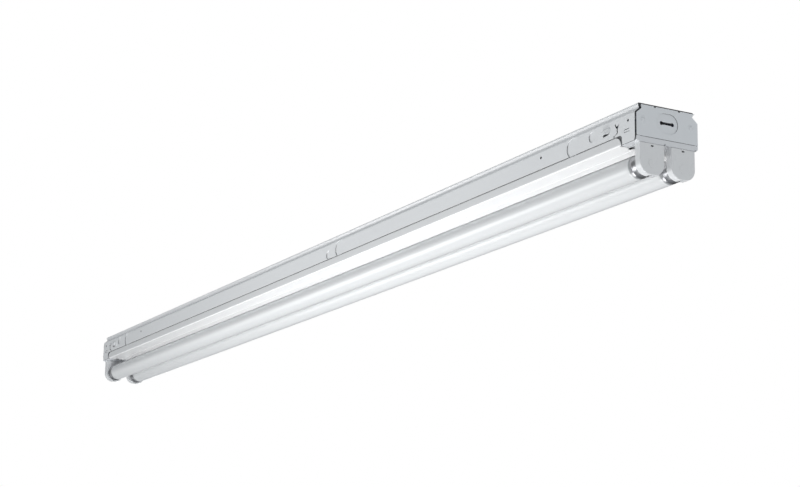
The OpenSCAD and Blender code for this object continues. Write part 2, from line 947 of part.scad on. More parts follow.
module contacts(end, side) {
    low_x = contact_room_x + contact_play;
    top = lamp_z - neck_top_z - neck_wall;
    color("goldenrod")
        at_end(end)
            at_lamp(side)
                for (s = [-1, 1])
                    mirror([0, s > 0 ? 0 : 1, 0]) {
                        block([low_x, contact_y, -contact_low],
                              [low_x + contact_w, contact_y + contact_t, top]);
                        block([low_x, contact_y, top - contact_t],
                              [low_x + contact_w, neck_room_w / 2, top]);
                    }
}

module rotor(end, side) {
    low_x = holder_inner + rotor_end_play;
    back_x = lid_inner - rotor_end_play;
    color("white")
        at_end(end)
            at_lamp(side)
                difference() {
                    union() {
                        rod_x(rotor_r, low_x, low_x + rotor_d);
                        rod_x(hub_r, low_x, back_x);
                    }
                    block([low_x - over, -rotor_r - over, -rotor_slot_w / 2],
                          [back_x - hub_web, rotor_r + over, rotor_slot_w / 2]);
                }
}

// Lamps
module glass_tube(side) {
    neck_end = cap_start + glass_neck_in;
    outer_half = [
        [cap_start - glass_shoulder - cap_t, glass_r],
        [cap_start - glass_shoulder / 3, glass_r - glass_t / 3],
        [cap_start - cap_t, glass_neck_r + glass_t / 3],
        [neck_end, glass_neck_r],
    ];
    inner_half = [
        [neck_end - glass_t, glass_neck_r - glass_t],
        [cap_start - cap_t - glass_t, glass_neck_r - glass_t],
        [cap_start - glass_shoulder - cap_t - glass_t, glass_r - glass_t],
    ];
    color("ghostwhite")
        at_lamp(side)
            rotate([0, 90, 0])
                rotate_extrude($fn = 64)
                    polygon(concat(
                        [for (p = outer_half) [p[1], p[0]]],
                        [[0, neck_end], [0, neck_end - glass_t]],
                        [for (p = inner_half) [p[1], p[0]]],
                        [for (p = reversed(inner_half)) [p[1], -p[0]]],
                        [[0, -neck_end + glass_t], [0, -neck_end]],
                        [for (p = reversed(outer_half)) [p[1], -p[0]]]));
}

module lamp_cap(end, side) {
    rim = [
        [insulator_r, lamp_face],
        [cap_r - cap_edge_r, lamp_face],
        [cap_r - cap_edge_r / 4, lamp_face - cap_edge_r / 4],
        [cap_r, lamp_face - cap_edge_r],
        [cap_r, cap_start],
        [cap_r - cap_t, cap_start],
        [cap_r - cap_t, lamp_face - cap_edge_r],
        [cap_r - cap_edge_r, lamp_face - cap_t],
        [insulator_r, lamp_face - cap_t],
    ];
    color("silver")
        at_end(end)
            at_lamp(side)
                rotate([0, 90, 0])
                    rotate_extrude($fn = 64)
                        polygon(rim);
}

module at_pins() {
    for (s = [-1, 1])
        translate([0, s * pin_pitch / 2, 0])
            children();
}

module cap_insulator(end, side) {
    color("tan")
        at_end(end)
            at_lamp(side)
                difference() {
                    union() {
                        rod_x(insulator_r, lamp_face - cap_t, lamp_face);
                        rod_x(insulator_r + cap_t, lamp_face - cap_t - insulator_t, lamp_face - cap_t);
                    }
                    at_pins()
                        rod_x(pin_r + insulator_play, lamp_face - 2 * insulator_t - over, lamp_face + over);
                }
}

module lamp_pins(end, side) {
    tip = pin_r / 3;
    color("silver")
        at_end(end)
            at_lamp(side)
                at_pins() {
                    rod_x(pin_r, lamp_face - pin_root, lamp_face + pin_len - tip);
                    translate([lamp_face + pin_len - tip, 0, 0])
                        rotate([0, 90, 0])
                            cylinder(r1 = pin_r, r2 = pin_r - tip, h = tip);
                }
}

// A glass stem carries the cathode on two wires
module cathode(end, side) {
    root = cap_start + glass_neck_in - glass_t;
    color("lightgray")
        at_end(end)
            at_lamp(side) {
                rod_x(stem_r, root - stem_len, root);
                for (s = [-1, 1])
                    translate([0, s * filament_len / 2, 0])
                        rod_x(stem_wire_r, root - stem_len - stem_wire_len, root - stem_len);
                translate([root - stem_len - stem_wire_len, -filament_len / 2 - stem_wire_r, 0])
                    rotate([-90, 0, 0])
                        cylinder(r = filament_r, h = filament_len + 2 * stem_wire_r);
            }
}

// Ballast
ballast_low_z = sheet_t + ballast_base_t + ballast_h;

module ballast_base() {
    color("silver")
        difference() {
            block([ballast_x - ballast_len / 2 - ballast_tab, -ballast_w / 2, -sheet_t - ballast_base_t],
                  [ballast_x + ballast_len / 2 + ballast_tab, ballast_w / 2, -sheet_t]);
            for (s = [-1, 1])
                translate([ballast_x + s * (ballast_len + ballast_tab) / 2, 0, -sheet_t - ballast_base_t - over])
                    cylinder(r = ballast_screw_r + screw_fit, h = ballast_base_t + 2 * over);
        }
}

module ballast_can() {
    top_z = sheet_t + ballast_base_t;
    color("whitesmoke")
        difference() {
            block([ballast_x - ballast_len / 2, -ballast_w / 2, -ballast_low_z],
                  [ballast_x + ballast_len / 2, ballast_w / 2, -top_z]);
            block([ballast_x - ballast_len / 2 + ballast_t, -ballast_w / 2 + ballast_t, -ballast_low_z + ballast_t],
                  [ballast_x + ballast_len / 2 - ballast_t, ballast_w / 2 - ballast_t, -top_z + over]);
            for (y = [-lamp_lead_y, lamp_lead_y])
                translate([0, y, -lead_z])
                    rod_x(lead_r + lead_play, ballast_x - ballast_len / 2 - over, ballast_x + ballast_len / 2 + over);
            for (y = [-supply_lead_y, supply_lead_y])
                translate([0, y, -supply_lead_z])
                    rod_x(lead_r + lead_play, ballast_x, ballast_x + ballast_len / 2 + over);
        }
}

board_top_z = sheet_t + ballast_base_t + 2 * board_gap;

module ballast_board() {
    color("seagreen")
        block([ballast_x - ballast_len / 2 + board_margin, -ballast_w / 2 + ballast_t, -board_top_z - board_t],
              [ballast_x + ballast_len / 2 - board_margin, ballast_w / 2 - ballast_t, -board_top_z]);
}

module ballast_coils() {
    color("sienna")
        for (share = coil_xs_share)
            translate([ballast_x + share * ballast_len, 0, -board_top_z - board_t]) {
                block([-coil_len / 2, -coil_w / 2, -coil_h], [coil_len / 2, coil_w / 2, 0]);
                block([-coil_core_len / 2, -coil_w / 2 - coil_core_len / 4, -coil_h],
                      [coil_core_len / 2, coil_w / 2 + coil_core_len / 4, 0]);
            }
}

module ballast_capacitors() {
    color("navy")
        for (share = capacitor_xs_share)
            translate([ballast_x + share * ballast_len, -capacitor_len / 2, -board_top_z - board_t - capacitor_r])
                rotate([-90, 0, 0])
                    cylinder(r = capacitor_r, h = capacitor_len);
}

// A screw from below: head under the plate, shank up into the channel's top
module screw_up(r, head_r, head_h, under_z) {
    translate([0, 0, -under_z - head_h])
        cylinder(r = head_r, h = head_h, $fn = 6);
    translate([0, 0, -under_z - head_h / 2])
        cylinder(r = r, h = under_z + head_h / 2);
}

module ballast_screws() {
    color("silver")
        for (s = [-1, 1])
            translate([ballast_x + s * (ballast_len + ballast_tab) / 2, 0, 0])
                screw_up(ballast_screw_r, ballast_screw_head_r, ballast_screw_head_h, sheet_t + ballast_base_t);
}

module ground_screw() {
    color("green")
        translate([ground_x, ground_y, 0])
            screw_up(ground_screw_r, ground_head_r, ground_head_h, sheet_t + ground_ring_t);
}

// Leads
module elbow_down(r, bend) {
    rotate([90, 0, 0])
        rotate_extrude(angle = 90)
            translate([bend, 0])
                circle(r, $fn = 16);
}

// One lead runs from the ballast along the channel and bends down into a lampholder
module lamp_lead(side) {
    from = ballast_x + ballast_len / 2 - ballast_t;
    foot_z = neck_top_z + neck_wall;
    color("royalblue")
        translate([0, side * lamp_lead_y, 0]) {
            translate([0, 0, -lead_z])
                rod_x(lead_r, from, lamp_lead_x - lead_bend_r);
            translate([lamp_lead_x - lead_bend_r, 0, -lead_z - lead_bend_r])
                elbow_down(lead_r, lead_bend_r);
            translate([lamp_lead_x, 0, -foot_z])
                cylinder(r = lead_r, h = foot_z - lead_z - lead_bend_r);
        }
}

module lamp_leads(end) {
    at_end(end)
        for (side = [front, rear])
            lamp_lead(side);
}

module supply_leads() {
    color("black")
        for (s = [-1, 1])
            translate([0, s * supply_lead_y, -supply_lead_z])
                rod_x(lead_r, ballast_x + ballast_len / 2 - ballast_t, supply_lead_end);
}

// Twist-on connectors, whose wide ends take the leads
module wire_connectors() {
    mouth = supply_lead_end - connector_overlap;
    color("orange")
        for (s = [-1, 1])
            translate([mouth, s * supply_lead_y, -supply_lead_z])
                rotate([0, 90, 0])
                    difference() {
                        cylinder(r1 = connector_r, r2 = connector_tip_r, h = connector_len);
                        translate([0, 0, -over])
                            cylinder(r = lead_r, h = connector_overlap + over);
                    }
}

module ground_lead() {
    ring_low = -sheet_t - ground_ring_t;
    run_z = sheet_t + lead_r;
    color("green")
        translate([0, ground_y, 0]) {
            difference() {
                translate([ground_x, 0, ring_low])
                    cylinder(r = ground_ring_r, h = ground_ring_t);
                translate([ground_x, 0, ring_low - over])
                    cylinder(r = ground_screw_r + screw_fit, h = ground_ring_t + 2 * over);
            }
            translate([0, 0, -run_z])
                rod_x(lead_r, ground_x + ground_head_r + ground_lead_gap, entry_x - bushing_flange_r - connector_gap);
        }
}

// A clip is a strap from the channel's top that holds both lamp leads of one end
module lead_clips() {
    color("silver")
        both_ends()
            for (offset = clip_from_ko)
                translate([top_ko_pitch + offset - clip_w / 2, 0, 0])
                    for (side = [front, rear])
                        translate([0, side * lamp_lead_y, 0])
                            difference() {
                                block([0, -clip_r - clip_t, -lead_z - clip_r - clip_t],
                                      [clip_w, clip_r + clip_t, -sheet_t]);
                                translate([0, 0, -lead_z])
                                    rod_x(clip_r, -over, clip_w + over);
                            }
}

channel();
channel_cover();
end_plate(near);  // end_plate_near
end_plate(far);  // end_plate_far
holder_bracket(near);  // holder_bracket_near
holder_bracket(far);  // holder_bracket_far
supply_bushing();
holder_body(near, front);  // holder_body_near_front
holder_body(near, rear);  // holder_body_near_rear
holder_body(far, front);  // holder_body_far_front
holder_body(far, rear);  // holder_body_far_rear
holder_lid(near, front);  // holder_lid_near_front
holder_lid(near, rear);  // holder_lid_near_rear
holder_lid(far, front);  // holder_lid_far_front
holder_lid(far, rear);  // holder_lid_far_rear
contacts(near, front);  // contacts_near_front
contacts(near, rear);  // contacts_near_rear
contacts(far, front);  // contacts_far_front
contacts(far, rear);  // contacts_far_rear
rotor(near, front);  // rotor_near_front
rotor(near, rear);  // rotor_near_rear
rotor(far, front);  // rotor_far_front
rotor(far, rear);  // rotor_far_rear
glass_tube(front);  // glass_tube_front
glass_tube(rear);  // glass_tube_rear
lamp_cap(near, front);  // lamp_cap_near_front
lamp_cap(near, rear);  // lamp_cap_near_rear
lamp_cap(far, front);  // lamp_cap_far_front
lamp_cap(far, rear);  // lamp_cap_far_rear
cap_insulator(near, front);  // cap_insulator_near_front
cap_insulator(near, rear);  // cap_insulator_near_rear
cap_insulator(far, front);  // cap_insulator_far_front
cap_insulator(far, rear);  // cap_insulator_far_rear
lamp_pins(near, front);  // lamp_pins_near_front
lamp_pins(near, rear);  // lamp_pins_near_rear
lamp_pins(far, front);  // lamp_pins_far_front
lamp_pins(far, rear);  // lamp_pins_far_rear
cathode(near, front);  // cathode_near_front
cathode(near, rear);  // cathode_near_rear
cathode(far, front);  // cathode_far_front
cathode(far, rear);  // cathode_far_rear
ballast_base();
ballast_can();
ballast_board();
ballast_coils();
ballast_capacitors();
ballast_screws();
lamp_leads(near);  // lamp_leads_near
lamp_leads(far);  // lamp_leads_far
lead_clips();
supply_leads();
wire_connectors();
ground_lead();
ground_screw();
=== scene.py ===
# %% [markdown]
# A two-lamp strip light hangs under a ceiling and is looked at from below.
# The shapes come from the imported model. This script gives them their finishes, rounds
# the lampholders, grows the lamp tubes, spins the lamp caps and rolls the connectors.
# X runs along the lamps, Y across them, Z up, and every length is in metres.

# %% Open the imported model
import json
import math

import bmesh
import bpy
from mathutils import Matrix, Vector


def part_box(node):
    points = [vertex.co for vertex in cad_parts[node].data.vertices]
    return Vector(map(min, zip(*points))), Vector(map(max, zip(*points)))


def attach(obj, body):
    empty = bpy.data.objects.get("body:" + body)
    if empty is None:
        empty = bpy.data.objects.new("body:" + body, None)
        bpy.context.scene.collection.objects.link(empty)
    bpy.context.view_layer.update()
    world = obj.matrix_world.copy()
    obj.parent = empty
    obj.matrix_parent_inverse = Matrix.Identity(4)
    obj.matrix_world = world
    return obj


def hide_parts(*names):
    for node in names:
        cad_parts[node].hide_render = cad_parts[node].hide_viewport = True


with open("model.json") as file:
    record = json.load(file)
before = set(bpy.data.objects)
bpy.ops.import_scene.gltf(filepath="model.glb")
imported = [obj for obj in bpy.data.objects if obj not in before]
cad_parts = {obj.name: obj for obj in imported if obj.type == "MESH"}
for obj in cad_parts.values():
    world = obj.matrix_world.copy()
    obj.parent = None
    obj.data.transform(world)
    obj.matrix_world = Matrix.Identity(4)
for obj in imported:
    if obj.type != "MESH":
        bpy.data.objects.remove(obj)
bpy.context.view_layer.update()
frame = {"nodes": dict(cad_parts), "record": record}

mm = 0.001
nodes = frame["nodes"]
slot_of = {row["node"]: row["material_slot"] for row in frame["record"]["subparts"]}
print("pieces in the model:", len(nodes))

# %% [markdown]
# Materials, the surround and the grown pieces are small node trees. These helpers add a
# node, a sum or a blend in one line, so that each tree below reads as a short list of
# what it does.

# %% Helpers for node trees


def link(tree, start, end):
    tree.links.new(start, end)


def add(tree, kind, inputs=None, **settings):
    node = tree.nodes.new(kind)
    for key, value in settings.items():
        setattr(node, key, value)
    for key, value in (inputs or {}).items():
        put(tree, value, node.inputs[key])
    return node


def put(tree, value, socket):
    if isinstance(value, bpy.types.NodeSocket):
        tree.links.new(value, socket)
    else:
        socket.default_value = value


def calc(tree, operation, first, second=0.0, clamp=False):
    node = tree.nodes.new("ShaderNodeMath")
    node.operation = operation
    node.use_clamp = clamp
    put(tree, first, node.inputs[0])
    put(tree, second, node.inputs[1])
    return node.outputs[0]


def times(tree, first, second):
    return calc(tree, "MULTIPLY", first, second)


def plus(tree, first, second, clamp=False):
    return calc(tree, "ADD", first, second, clamp)


def minus(tree, first, second):
    return calc(tree, "SUBTRACT", first, second)


def size_of(tree, value):
    return calc(tree, "ABSOLUTE", value)


def own_place(tree):
    return add(tree, "ShaderNodeTexCoord").outputs["Object"]


def split(tree, vector):
    return add(tree, "ShaderNodeSeparateXYZ", {0: vector}).outputs


def blend(tree, factor, first, second, how="MIX"):
    node = tree.nodes.new("ShaderNodeMix")
    node.data_type = "RGBA"
    node.blend_type = how
    by_name = {s.identifier: s for s in node.inputs}
    put(tree, factor, by_name["Factor_Float"])
    put(tree, first, by_name["A_Color"])
    put(tree, second, by_name["B_Color"])
    return next(s for s in node.outputs if s.identifier == "Result_Color")


def shade(tree, colour, level):
    """A colour times one level of grey."""
    grey = add(tree, "ShaderNodeCombineColor", {0: level, 1: level, 2: level}).outputs[0]
    return blend(tree, 1.0, colour, grey, "MULTIPLY")


def ramp(tree, value, low, high):
    """A smooth step from 0 at low to 1 at high. low may be the larger of the two."""
    reach = {"Value": value, "From Min": low, "From Max": high}
    return add(tree, "ShaderNodeMapRange", reach, interpolation_type="SMOOTHSTEP").outputs["Result"]


def noise(tree, vector, scale, detail=2.0, stretch=(1, 1, 1)):
    mapped = add(tree, "ShaderNodeMapping", {"Vector": vector, "Scale": stretch})
    node = add(tree, "ShaderNodeTexNoise", {"Vector": mapped.outputs[0], "Scale": scale, "Detail": detail})
    return node.outputs["Fac"]


def effect_group(name, inputs, outputs):
    tree = bpy.data.node_groups.new(name, "ShaderNodeTree")
    for label, value in inputs.items():
        kind = "NodeSocketColor" if hasattr(value, "__len__") else "NodeSocketFloat"
        tree.interface.new_socket(label, in_out="INPUT", socket_type=kind).default_value = value
    for label in outputs:
        kind = "NodeSocketColor" if label == "Colour" else "NodeSocketFloat"
        tree.interface.new_socket(label, in_out="OUTPUT", socket_type=kind)
    return tree, tree.nodes.new("NodeGroupInput").outputs, tree.nodes.new("NodeGroupOutput").inputs


def effect(tree, group, inputs):
    node = add(tree, "ShaderNodeGroup", node_tree=group)
    for key, value in inputs.items():
        put(tree, value, node.inputs[key])
    return node.outputs


def new_finish(name, **constants):
    finish = bpy.data.materials.new(name)
    finish.use_nodes = True
    tree = finish.node_tree
    skin = tree.nodes["Principled BSDF"]
    for key, value in constants.items():
        skin.inputs[key.replace("_", " ")].default_value = value
    return finish, tree, skin


def raise_skin(tree, skin, height, depth):
    bump = add(tree, "ShaderNodeBump", {"Strength": 1.0, "Distance": depth, "Height": height})
    link(tree, bump.outputs["Normal"], skin.inputs["Normal"])


print("helpers ready")

# %% [markdown]
# The camera stands low, past the near end and a little in front, and looks up along
# the fixture.
# Its place and turn were worked out from corners whose real places are known.
# A long lens keeps the far end large, as in a catalogue picture.

# %% Set up the camera
camera_right = Vector((0.48277, 0.87544, 0.01759))
camera_down = Vector((-0.19782, 0.12861, -0.97178))
camera_forward = Vector((-0.85311, 0.46585, 0.23524))
camera_place = Vector((2.2169, -1.0979, -0.5827))

lens = bpy.data.cameras.new("camera")
lens.lens = 84.375
lens.sensor_width = 36
lens.clip_start = 0.05
lens.clip_end = 60
camera = bpy.data.objects.new("camera", lens)
bpy.context.scene.collection.objects.link(camera)
camera_turn = Matrix((camera_right, -camera_down, -camera_forward)).transposed()
camera.matrix_world = Matrix.Translation(camera_place) @ camera_turn.to_4x4()
bpy.context.scene.camera = camera

# %% [markdown]
# The studio is a pale floor, a white surround and soft boxes below, beside and behind.
# The surround lights the fixture gently, and shows as plain white behind it.
# A glossy ray sees the same white, so that metal and glass mirror the background.

# %% Light the studio
scene = bpy.context.scene
scene.view_settings.view_transform = "Standard"
surround_tint = (0.92, 0.965, 1.0, 1)
surround_fill = 0.42


def make_world():
    world = bpy.data.worlds.new("white_surround")
    scene.world = world
    world.use_nodes = True
    tree = world.node_tree
    tree.nodes.clear()
    rays = add(tree, "ShaderNodeLightPath").outputs
    seen = calc(tree, "MAXIMUM", rays["Is Camera Ray"], rays["Is Glossy Ray"])
    seen_or_through = calc(tree, "MAXIMUM", seen, rays["Is Transmission Ray"])
    fill = add(tree, "ShaderNodeBackground", {"Color": surround_tint, "Strength": surround_fill}).outputs[0]
    white = add(tree, "ShaderNodeBackground", {"Color": (1, 1, 1, 1), "Strength": 1.0}).outputs[0]
    mix = add(tree, "ShaderNodeMixShader", {0: seen_or_through, 1: fill, 2: white}).outputs[0]
    add(tree, "ShaderNodeOutputWorld", {"Surface": mix})


def soft_box(name, place, aim, size, power, spread=180):
    lamp = bpy.data.lights.new(name, "AREA")
    lamp.spread = math.radians(spread)
    lamp.shape = "RECTANGLE"
    lamp.size, lamp.size_y = size
    lamp.energy = power
    box = bpy.data.objects.new(name, lamp)
    scene.collection.objects.link(box)
    box.location = place
    box.rotation_mode = "QUATERNION"
    box.rotation_quaternion = (Vector(aim) - Vector(place)).to_track_quat("-Z", "Y")
    box.visible_camera = False
    print("soft box", name, "of", power, "W")
    return box


make_world()
box_below = soft_box("box_below", (0.20, -0.30, -1.15), aim=(0.15, 0, -0.04), size=(1.0, 0.6), power=16.5)
box_low = soft_box("box_low", (0.20, -0.50, -1.15), aim=(0.15, 0, -0.04), size=(1.0, 0.6), power=11.0)
soft_box("box_side", (0.70, -0.95, -0.42), aim=(0.35, 0, -0.03), size=(0.9, 0.5), power=0.9)
soft_box("box_key", (-1.50, -1.20, -0.60), aim=(0.36, 0, -0.03), size=(1.3, 0.75), power=2.3, spread=70)
soft_box("box_end", (2.40, 0.30, -1.10), aim=(0.76, 0, -0.04), size=(1.0, 0.8), power=10.2)
box_behind = soft_box("box_behind", (0.0, 1.10, 1.20), aim=(0, 0, -0.02), size=(1.6, 0.9), power=13)
box_far_end = soft_box("box_far_end", (-2.90, 0.60, 0.40), aim=(-0.76, 0, -0.04), size=(1.0, 1.0), power=8)

# %% [markdown]
# The floor is a plain pale sheet far below the light, as under a ceiling. It glows a little
# for the camera alone, so that it looks pale and lights nothing.
# Three dark cards stand out of sight. Only reflections see them: they give the bright lamp
# caps the dark bands that polished metal shows in a studio, and they draw a soft dark line
# along the glass.

# %% Lay the floor and hang the cards
floor_z = -3.00
floor_half = 40
floor_glow = 0.50
pale_grey = (0.80, 0.80, 0.80)
card_black = (0.01, 0.01, 0.01)


def flat_card(name, corners, colour, glow=0.0):
    mesh = bpy.data.meshes.new(name)
    mesh.from_pydata(corners, [], [(0, 1, 2, 3)])
    card = bpy.data.objects.new(name, mesh)
    scene.collection.objects.link(card)
    paint = bpy.data.materials.new(name)
    paint.use_nodes = True
    skin = paint.node_tree.nodes["Principled BSDF"]
    skin.inputs["Base Color"].default_value = (*colour, 1)
    skin.inputs["Roughness"].default_value = 0.9
    skin.inputs["Emission Color"].default_value = (1, 1, 1, 1)
    skin.inputs["Emission Strength"].default_value = glow
    mesh.materials.append(paint)
    return card


def reflected_card(name, start, stop, heights, glow=0.0):
    """A standing card from one point of the plan to another, between two heights."""
    low, high = heights
    card = flat_card(name, [(*start, low), (*stop, low), (*stop, high), (*start, high)], card_black, glow)
    card.visible_camera = False
    card.visible_diffuse = False
    card.visible_shadow = False
    card.visible_transmission = False
    return card


corners = ((-1, -1), (1, -1), (1, 1), (-1, 1))
floor = flat_card("floor", [(x * floor_half, y * floor_half, floor_z) for x, y in corners], pale_grey)
floor_tree = floor.data.materials[0].node_tree
camera_only = add(floor_tree, "ShaderNodeLightPath").outputs["Is Camera Ray"]
put(floor_tree, times(floor_tree, camera_only, floor_glow),
    floor_tree.nodes["Principled BSDF"].inputs["Emission Strength"])
reflected_card("dark_card", (-1.7, -0.95), (-1.9, 0.15), (-0.7, 0.35))
reflected_card("grey_card", (-2.3, -3.6), (-2.3, 0.40), (0.0, 1.8), glow=0.3)
reflected_card("far_wall", (-4.5, 1.8), (0.9, 1.8), (-1.4, 2.4), glow=0.08)
print("floor at", floor_z, "m")

# %% [markdown]
# Baked enamel is sprayed and cured in an oven. It flows a little as it cures, which
# leaves very shallow ripples, and its shade and gloss drift by a percent or two.
# One group makes all of that from noise, and each painted piece sets its own amounts.

# %% The skin of baked enamel


def make_enamel_skin():
    tree, given, result = effect_group(
        "enamel_skin",
        {"Colour": (0.8, 0.8, 0.8, 1), "Drift": 0.04, "Gloss": 0.3, "Ripple": 1.0},
        ["Colour", "Roughness", "Height"])
    place = own_place(tree)
    broad = noise(tree, place, 9, 3, (0.35, 1, 1))
    fine = noise(tree, place, 160, 2)
    drift = times(tree, minus(tree, broad, 0.5), given["Drift"])
    speck = times(tree, minus(tree, fine, 0.5), times(tree, given["Drift"], 0.35))
    level = plus(tree, plus(tree, drift, speck), 1.0)
    link(tree, shade(tree, given["Colour"], level), result["Colour"])
    link(tree, plus(tree, given["Gloss"], times(tree, broad, 0.10)), result["Roughness"])
    ripple = noise(tree, place, 420, 2)
    long_wave = noise(tree, place, 45, 1, (0.4, 1, 1))
    height = plus(tree, ripple, times(tree, long_wave, 1.6))
    link(tree, times(tree, height, given["Ripple"]), result["Height"])
    return tree


enamel_skin = make_enamel_skin()
print("group", enamel_skin.name)

# %% [markdown]
# Corners lose a little paint when a fixture is handled and stacked. The mask compares the
# true surface with one whose edges are rounded: where they differ there is an edge.
# Noise breaks the line up, because wear is never even.

# %% Rubbed edges


def make_rubbed_edges():
    tree, given, result = effect_group("rubbed_edges", {"Reach": 0.0004, "Amount": 0.5}, ["Mask"])
    rounded = add(tree, "ShaderNodeBevel", {"Radius": given["Reach"]}, samples=4).outputs["Normal"]
    true = add(tree, "ShaderNodeNewGeometry").outputs["Normal"]
    alike = add(tree, "ShaderNodeVectorMath", {0: rounded, 1: true}, operation="DOT_PRODUCT").outputs["Value"]
    edge = ramp(tree, alike, 0.985, 0.80)
    place = own_place(tree)
    broken = ramp(tree, noise(tree, place, 240, 3), 0.42, 0.68)
    link(tree, times(tree, times(tree, edge, broken), given["Amount"]), result["Mask"])
    return tree


rubbed_edges = make_rubbed_edges()
print("group", rubbed_edges.name)

# %% [markdown]
# The channel is punched from sheet that is already painted. Each sheared edge shows the
# bare steel, darker than the paint: the outline of every knockout, slot and cut end.
# The mask finds faces that look along the sheet and not out of it. Its darkness is also
# painted shade: it fades out on faces that look down, which stay light as if lit from
# below, and the cut edge along the channel's foot is darkened as a painted shadow line
# in the gap above the cover. A strap's ends are bent and not cut, so they are left out.

# %% Sheared edges and painted shade
strap_middle = 0.4 * mm
strap_reach = 0.5 * mm


def make_sheared_edges_and_shade():
    tree, given, result = effect_group(
        "sheared_edges_and_shade", {"Bulge": 38.56 * mm, "Low edge": 28.4 * mm, "Strap from": 740.8 * mm}, ["Mask"])
    coordinates = add(tree, "ShaderNodeTexCoord").outputs
    facing = split(tree, coordinates["Normal"])
    place = split(tree, coordinates["Object"])
    along = ramp(tree, size_of(tree, facing["X"]), 0.3, 0.7)
    # Painted shade: less bare grey on faces that look down, as if they were lit from below.
    not_lit_from_below = ramp(tree, facing["Z"], -0.8, -0.3)
    low_edge = calc(tree, "LESS_THAN", plus(tree, place["Z"], given["Low edge"]), 0.0)
    # A painted shadow line: the downward cut edge at the channel's foot, in the gap above the cover.
    down = times(tree, low_edge, calc(tree, "LESS_THAN", facing["Z"], -0.6))
    cut = calc(tree, "MAXIMUM", times(tree, along, not_lit_from_below), down)
    on_sheet = calc(tree, "LESS_THAN", size_of(tree, place["Y"]), given["Bulge"])
    past_strap = minus(tree, size_of(tree, place["X"]), given["Strap from"])
    on_strap = calc(tree, "COMPARE", past_strap, strap_middle)
    on_strap.node.inputs[2].default_value = strap_reach
    cut_sheet = times(tree, cut, on_sheet)
    link(tree, times(tree, cut_sheet, minus(tree, 1.0, on_strap)), result["Mask"])
    return tree


sheared_edges_and_shade = make_sheared_edges_and_shade()
print("group", sheared_edges_and_shade.name)

# %% [markdown]
# Dust settles on surfaces that look up. It is pale, dull and patchy, so it lifts the
# roughness more than it changes the colour.

# %% Settled dust


def make_settled_dust():
    tree, given, result = effect_group("settled_dust", {"Amount": 0.35}, ["Mask"])
    coordinates = add(tree, "ShaderNodeTexCoord").outputs
    up = split(tree, coordinates["Normal"])["Z"]
    patches = ramp(tree, noise(tree, coordinates["Object"], 30, 4), 0.35, 0.75)
    lying = times(tree, ramp(tree, up, 0.5, 0.95), patches)
    link(tree, times(tree, lying, given["Amount"]), result["Mask"])
    return tree


settled_dust = make_settled_dust()
print("group", settled_dust.name)

# %% [markdown]
# Painted steel is one recipe with different amounts: the enamel skin, bare steel where the
# paint is rubbed or the sheet was sheared, painted shade where a mask asks for it, and a
# little dust on top. Bare steel is much darker than paint. Its grey, which the painted shade
# shares, is mixed in by the masks.

# %% Painted steel
bare_steel_and_shade = (0.065, 0.066, 0.069, 1)
# Painted shade: where the bracket's tail shows through the opening behind the cut corner, it is darkened.
tail_shade_ends = 736 * mm
tail_stands_at = 36 * mm
dimple_y = 29.6 * mm
dimple_drop = 17.4 * mm
dimple_foot = 4.6 * mm
dimple_top = 0.6 * mm
dimple_rise = 40.0
plate_top_edge = -1.75 * mm
tail_shade_depth = 0.85
dust_colour = (0.55, 0.54, 0.52, 1)


def painted_steel(name, colour, drift, gloss, ripple, wear, mask=None, relief=None):
    finish, tree, skin = new_finish(name, IOR=1.5, Coat_Weight=0.15, Coat_Roughness=0.12)
    amounts = {"Colour": (*colour, 1), "Drift": drift, "Gloss": gloss, "Ripple": ripple}
    enamel = effect(tree, enamel_skin, amounts)
    worn = effect(tree, rubbed_edges, {"Amount": wear})["Mask"]
    dust = effect(tree, settled_dust, {})["Mask"]
    # Rubbed wear, together with the mask's sheared edges and painted shade, all in the bare grey.
    bare_and_shaded = calc(tree, "MAXIMUM", worn, mask(tree)) if mask else worn
    dusty = blend(tree, dust, enamel["Colour"], dust_colour)
    link(tree, blend(tree, bare_and_shaded, dusty, bare_steel_and_shade), skin.inputs["Base Color"])
    duller = times(tree, plus(tree, dust, bare_and_shaded), 0.3)
    link(tree, plus(tree, enamel["Roughness"], duller, clamp=True), skin.inputs["Roughness"])
    height = plus(tree, enamel["Height"], relief(tree)) if relief else enamel["Height"]
    raise_skin(tree, skin, height, 0.02 * mm)
    return finish


def plate_cut_edges(tree):
    """The end plate looks along X, so its sheared edges are the faces that don't."""
    coordinates = add(tree, "ShaderNodeTexCoord").outputs
    facing = split(tree, coordinates["Normal"])
    place = split(tree, coordinates["Object"])
    across = calc(tree, "LESS_THAN", size_of(tree, facing["X"]), 0.4)
    return times(tree, across, calc(tree, "LESS_THAN", place["Z"], plate_top_edge))


# The channel's sheared edges in bare grey, together with the painted shade of that mask.
def channel_cut_edges_and_shade(tree):
    return effect(tree, sheared_edges_and_shade, {})["Mask"]


def painted_shade_on_tail(tree):
    """Painted shade: the bracket's tail behind the channel's cut corner is darkened almost to the grey of
    bare steel.
    """
    place = split(tree, own_place(tree))
    inward = calc(tree, "LESS_THAN", size_of(tree, place["X"]), tail_shade_ends)
    outward = calc(tree, "GREATER_THAN", size_of(tree, place["Y"]), tail_stands_at)
    return times(tree, times(tree, inward, outward), tail_shade_depth)


def pressed_dimples(tree):
    """The soft shoulder round the two dimples that the press raises in an end plate."""
    place = split(tree, own_place(tree))
    off_y = minus(tree, size_of(tree, place["Y"]), dimple_y)
    off_z = plus(tree, place["Z"], dimple_drop)
    away_squared = plus(tree, calc(tree, "POWER", off_y, 2.0), calc(tree, "POWER", off_z, 2.0))
    away = calc(tree, "SQRT", away_squared)
    return times(tree, ramp(tree, away, dimple_foot, dimple_top), dimple_rise)


